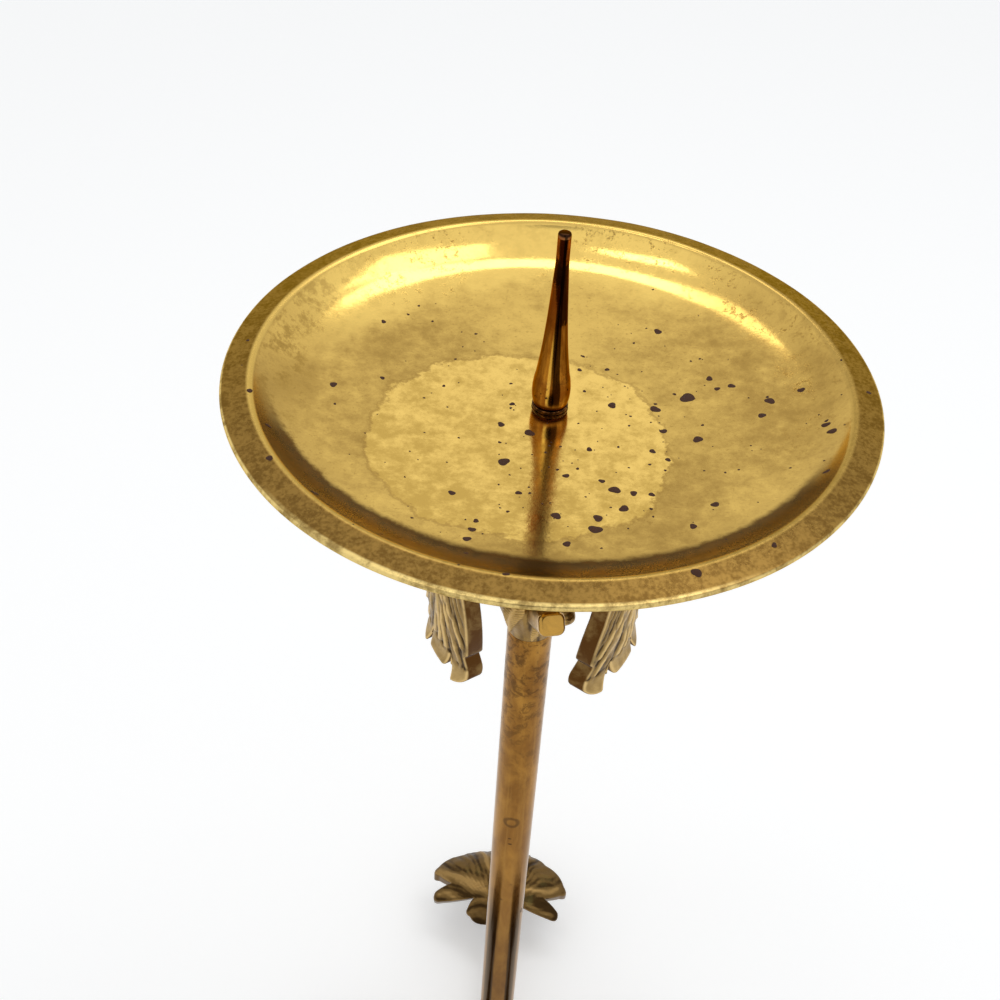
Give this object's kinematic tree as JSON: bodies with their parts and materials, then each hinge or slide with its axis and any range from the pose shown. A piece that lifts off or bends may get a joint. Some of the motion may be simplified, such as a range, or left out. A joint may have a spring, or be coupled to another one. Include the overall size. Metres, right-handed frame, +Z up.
{
  "type": "pricket candle stand",
  "caption": "Brass pricket candle stand: a round spun drip pan with a blunt spike, on a plain tube stem with a cast leaf capital and a tripod of leaf feet.",
  "frame": {"origin": "on the floor, on the stem's axis", "axes": "+Z up the stem, +Y towards the rear foot, +X to the viewer's right in the picture"},
  "size_m": [0.1518, 0.1523, 0.3627],
  "materials": {
    "pan_brass": "polished sheet, tarnished and spotted",
    "pricket_brass": "turned and polished, brown tarnish",
    "ring_brass": "dark tarnish",
    "stem_brass": "drawn tube, lacquered, brown tarnish",
    "cast_brass": "cast, veined, edges filed bright",
    "fixing_steel": "plain"
  },
  "bodies": {
    "stand": {"base_hub": "cast_brass", "base_nut": "fixing_steel", "base_washer": "fixing_steel", "capital": "cast_brass", "capital_leaf_rear": "cast_brass", "capital_leaf_left": "cast_brass", "capital_leaf_right": "cast_brass", "drip_pan": "pan_brass", "leaf_foot_rear": "cast_brass", "leaf_foot_left": "cast_brass", "leaf_foot_right": "cast_brass", "stem_tube": "stem_brass", "tie_rod": "fixing_steel", "twig_stub_front": "cast_brass", "twig_stub_left": "cast_brass", "twig_stub_right": "cast_brass"},
    "pricket_ring": {"pricket_washer": "ring_brass"},
    "pricket_spike": {"pricket": "pricket_brass"}
  },
  "joints": [
    {"name": "pricket_lift", "type": "slide", "parent": "stand", "child": "pricket_ring", "axis": [0, 0, 1], "range_m": [0, 0.0064]},
    {"name": "pricket_turn", "type": "hinge", "parent": "pricket_ring", "child": "pricket_spike", "pos_m": [0, 0, 0.3177], "axis": [0, 0, 1], "range_deg": [0, 2880.1]}
  ],
  "couplings": [
    {"joint": "pricket_turn", "follows": "pricket_lift", "rad_per_m": 7854}
  ]
}
